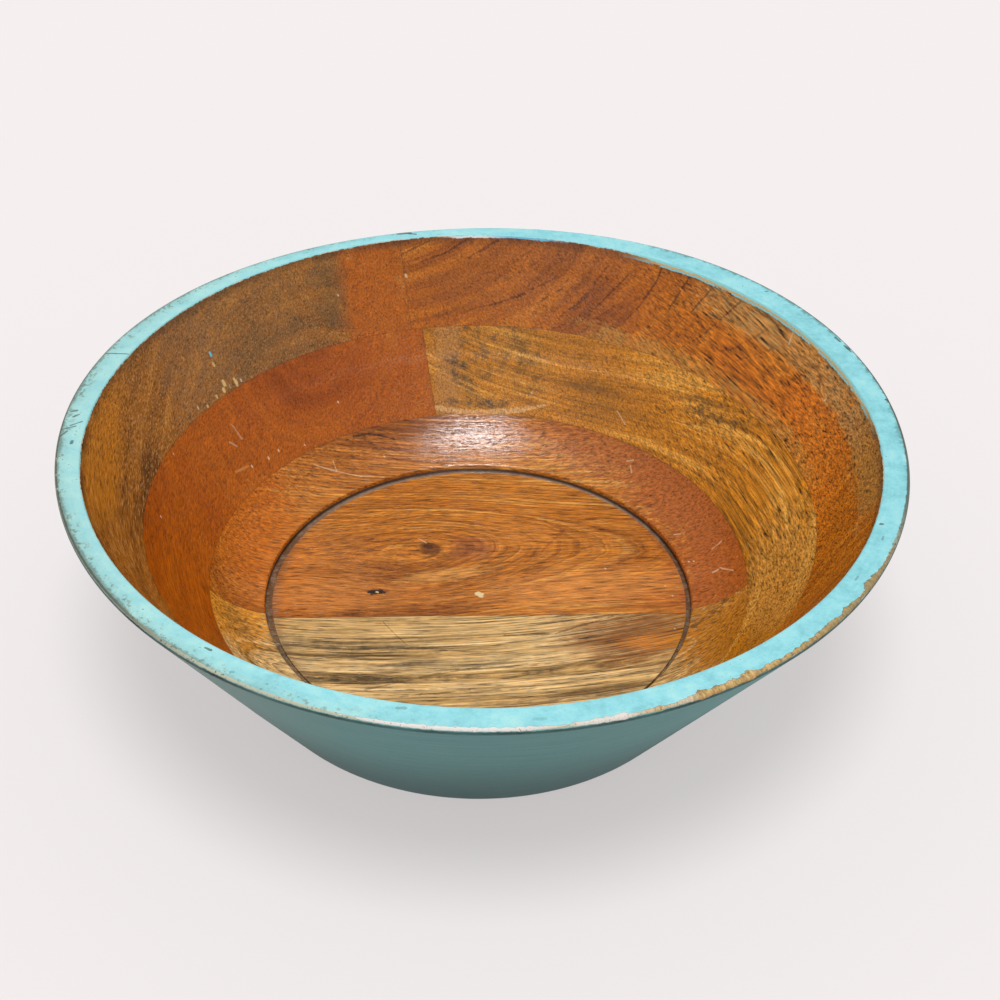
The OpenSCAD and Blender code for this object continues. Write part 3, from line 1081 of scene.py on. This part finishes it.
class Film:
    """Fields of the paint: where it lies, how worn it is, its brush strokes, blotches and grit."""

    def __init__(self, s):
        self.place = s.place()
        self.xyz = x, y, z = s.split(self.place)
        for name in ("worn", "tan", "run"):
            setattr(self, name, s.node("Attribute", {}, output="Fac", attribute_name=name))
        self.ring = (x * x + y * y).math("SQRT") + z
        self.brush = s.noise((x, y, self.ring), (50.0, 50.0, 1.6), 3.0, 0.6)
        self.blotch = s.noise(self.xyz, 20.0, 4.0, 0.65)
        self.cloudy = s.noise(self.xyz, 6.0, 3.0, 0.6)
        self.ragged = s.noise(self.xyz, 3.0, 4.0, 0.65)
        self.grit = s.noise(self.xyz, 1.6, 3.0, 0.6)
        self.on_rim = self.run.span(-1.0, 1.0)
        self.on_wall = 1 - self.on_rim


# Turquoise from dark to light, and how it fades to green on the wall and to grey at the left
TURQUOISE = ((0.1, "80c6ce"), (0.5, "98dfe7"), (0.9, "b4ecea"))
WALL_GREEN = 0.3
LEFT_GREY = 0.25
LEFT_WALL_GREY = 0.4
# Painted light and shade: share of light at the foot of the wall, and what the height, the rim and its
# front add
FOOT_LIGHT = 0.42
HEIGHT_LIGHT = 0.54
RIM_LIGHT = 0.04
FRONT_LIGHT = 0.05


def brushed(s, f):
    """Turquoise in brush strokes and blotches, with painted shade darker down the wall and painted
    light on the rim and its front.
    """
    x, y, z = f.xyz
    on_rim = f.on_rim
    strokes = f.brush * (1.5 - on_rim * 1.2) + f.blotch * (0.4 + on_rim * 0.8)
    strokes = strokes + f.cloudy * on_rim * 0.8
    level = 0.55 + strokes + f.grit * 0.5 - x * 0.0006
    colour = s.layered(
        s.ramp(level, TURQUOISE),
        (f.on_wall * WALL_GREEN, "72c3ae"),
        (x.span(-60.0, -180.0) * LEFT_GREY, "b4d2c6"),
        (x.span(-40.0, -140.0) * f.on_wall * LEFT_WALL_GREY, "c8c4b4"))
    # Painted light and shade: darker towards the foot of the wall, lighter on the rim and more so at
    # its front
    front = y.span(-60.0, -200.0)
    light = FOOT_LIGHT + z.span(0.0, 100.0) * HEIGHT_LIGHT
    return s.scale(colour, light + on_rim * (front * FRONT_LIGHT + RIM_LIGHT))


def dirtied_and_shaded(s, f, colour):
    """Dirt and specks on the rim, most of them at the left, its soiled outer edge at the left, and
    painted shade along its outer edge at the right and back.
    """
    x, y, z = f.xyz
    dirt = (f.run + f.blotch * 14.0).span(9.0, 1.0) * f.on_rim * x.span(60.0, -160.0)
    specks = (f.grit + x.span(0.0, -160.0) * 0.03).span(0.17, 0.24)
    specks = specks * f.blotch.span(-0.08, 0.1) * f.on_rim
    outer = (f.run + f.ragged * 7.0 + f.blotch * 5.0).span(2.6, 0.7) * f.on_rim
    right_back = x.span(30.0, 110.0) * y.span(-60.0, 40.0)
    return s.layered(
        colour,
        (dirt * (0.3 + f.ragged), "8eaa9c"),
        (f.ragged.span(0.04, 0.14) * dirt * 0.7, "5c6654"),
        (specks * 0.8, "54645a"),
        # Painted shade: a darker turquoise along the outer edge of the rim at the right and back; at
        # the left the darker edge is dirt
        (outer * right_back * 0.55, "4c6a64"),
        (outer * x.span(-60.0, -140.0) * 0.6, "5c5c46"))


# The rubbed line on the outer corner and the painted shade line under it, from clear to full
CORNER_LINE = (0.8, 0.4)
SHADE_LINE_TOP = (0.9, 1.5)
SHADE_LINE_FOOT = (3.8, 2.0)


def edged(s, f, colour):
    """The line that is rubbed along the outer corner, and a dark line under it: painted shade, with
    some grime.
    """
    x, y, z = f.xyz
    wider = x.span(60.0, 140.0) * 0.5
    corner = (f.run.math("ABSOLUTE") + f.ragged * 1.6 - wider).span(*CORNER_LINE)
    cream = y.span(-40.0, -110.0) * x.span(-165.0, -110.0) * f.grit.span(0.15, 0.08)
    colour = s.mix(corner * 0.85, colour, s.mix(cream, "55533c", "cfc6a8"))
    # Painted shade: a dark line on the wall under the rounded outer corner of the rim, with some grime
    below = BOWL_H - z + f.ragged * 1.2
    under = below.span(*SHADE_LINE_TOP) * below.span(*SHADE_LINE_FOOT)
    return s.mix(under * (0.8 + f.blotch), colour, "2e332e")


def bare_edge(s, f):
    """What shows where the paint has gone: white primer, or wood with its fibres cut across."""
    x, y, z = f.xyz
    fine = s.noise((x, y, f.ring), (0.8, 0.8, 1.6), 2.0, 0.6)
    primer = s.mix(fine.span(0.1, 0.25), "eee8e2", "8c8474")
    round_rim = x.math("ARCTAN2", y) * RIM_R
    cut = s.noise((round_rim, f.ring, 0.0), (2.2, 4.0, 1.0), 4.0, 0.6) + fine * 0.4
    timber = s.mix(cut.span(-0.18, 0.24), "e6c080", "8c6a3a")
    weathered = s.mix(x.span(110.0, 170.0) * 0.6, timber, "857c60")
    return s.mix(f.tan, primer, weathered)


# The dark edge of the worn paint, painted shade, and what shows inside it, from clear to full
WORN_EDGE_SHADE = (0.34, 0.44)
WORN_OFF = (0.44, 0.54)


def paint():
    """Turquoise paint: brushed, mottled, dirty along its outer edge and worn off the corner."""
    s = Shader("turquoise_paint")
    f = Film(s)
    colour = dirtied_and_shaded(s, f, brushed(s, f))
    for mark in PAINT_MARKS:
        colour = mark.draw(s, f.place, f.ragged, colour)
    colour = edged(s, f, colour)
    gone = f.worn + f.grit * 0.35 + f.ragged * 0.35
    # Painted shade: a thin dark line along the broken edge of the paint round the worn patches
    colour = s.mix(gone.span(*WORN_EDGE_SHADE) * (0.4 + f.tan * 0.6), colour, "3e3626")
    colour = s.mix(gone.span(*WORN_OFF), colour, bare_edge(s, f))
    roughness = 0.55 + f.brush * 0.2
    return s.finish(colour, roughness, f.brush + f.grit * 0.5, 0.08, Specular_IOR_Level=0.3)


def add_paint():
    outer = np.array(PROFILE.painted(0.0, *PAINT_STEPS))
    under = PROFILE.painted(PAINT_T, *PAINT_UNDER_STEPS)
    steps = np.linalg.norm(np.diff(outer, axis=0), axis=1)
    widest = np.argmax(outer[:, 0])
    runs = np.concatenate([[0], np.cumsum(steps)])
    runs -= runs[widest] + RIM_ARRIS * math.pi / 4
    turns = np.arange(PAINT_SEGMENTS) * 2 * math.pi / PAINT_SEGMENTS
    worn, tan = wear_levels(turns, runs)
    rings = moved(turned([*outer, *under[::-1]], PAINT_SEGMENTS))
    piece = finished(skin(rings, closed=True), "paint_film", paint())
    spread = np.broadcast_to(runs[:, None], worn.shape)
    for name, levels in (("worn", worn), ("tan", tan), ("run", spread)):
        values = np.zeros(len(piece.data.vertices), dtype=np.float32)
        values[:levels.size] = levels.ravel()
        piece.data.attributes.new(name, "FLOAT", "POINT").data.foreach_set("value", values)
    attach(piece, "root")
    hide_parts("paint_coat")


# Floor, light and camera

def seen_rays(s):
    """1 for rays that show the background by sight, in a gloss or through glass."""
    path = s.raw("LightPath", {})
    kinds = [Field(s, path.outputs[k])
             for k in ("Is Camera Ray", "Is Glossy Ray", "Is Transmission Ray")]
    return kinds[0].math("MAXIMUM", kinds[1]).math("MAXIMUM", kinds[2])


def add_floor():
    s = Shader("pale_floor")
    seen = seen_rays(s)
    tone = s.mix(seen, FLOOR_BOUNCE, FLOOR_COLOUR)
    lit = s.node("BsdfDiffuse", {"Color": tone})
    plain = s.node("Emission", {"Color": FLOOR_COLOUR, "Strength": 1.0})
    surface = s.node("MixShader", {0: seen * FLOOR_GLOW, 1: lit, 2: plain})
    s.raw("OutputMaterial", {"Surface": surface})
    made = bmesh.new()
    bmesh.ops.create_circle(made, cap_ends=True, segments=128, radius=FLOOR_R)
    floor = finished(made, "floor", s.material)


def add_light():
    sun = bpy.data.lights.new("key", "SUN")
    sun.energy = SUN_ENERGY
    sun.angle = math.radians(SUN_ANGLE)
    lamp = bpy.data.objects.new("key", sun)
    lamp.rotation_mode = "QUATERNION"
    lamp.rotation_quaternion = Vector(SUN_FROM).to_track_quat("Z", "Y")
    bpy.context.scene.collection.objects.link(lamp)
    world = bpy.data.worlds.new("studio")
    world.use_nodes = True
    background = world.node_tree.nodes["Background"]
    background.inputs["Color"].default_value = (1, 1, 1, 1)
    background.inputs["Strength"].default_value = WORLD_LEVEL
    bpy.context.scene.world = world


def add_camera():
    yaw, pitch, roll = (math.radians(a) for a in (CAMERA_YAW, CAMERA_PITCH, CAMERA_ROLL))
    ahead = Vector((math.sin(yaw) * math.cos(pitch), math.cos(yaw) * math.cos(pitch),
                    -math.sin(pitch)))
    level = Vector((math.cos(yaw), -math.sin(yaw), 0))
    above = level.cross(ahead)
    right = math.cos(roll) * level + math.sin(roll) * above
    up = right.cross(ahead)
    data = bpy.data.cameras.new("camera")
    data.lens = CAMERA_LENS
    camera = bpy.data.objects.new("camera", data)
    camera.matrix_world = Matrix((right, up, -ahead)).transposed().to_4x4()
    camera.location = CAMERA_PLACE
    bpy.context.scene.collection.objects.link(camera)
    bpy.context.scene.camera = camera


add_camera()
add_light()
add_floor()
add_planks()
add_paint()
bpy.context.scene.view_settings.view_transform = "Standard"
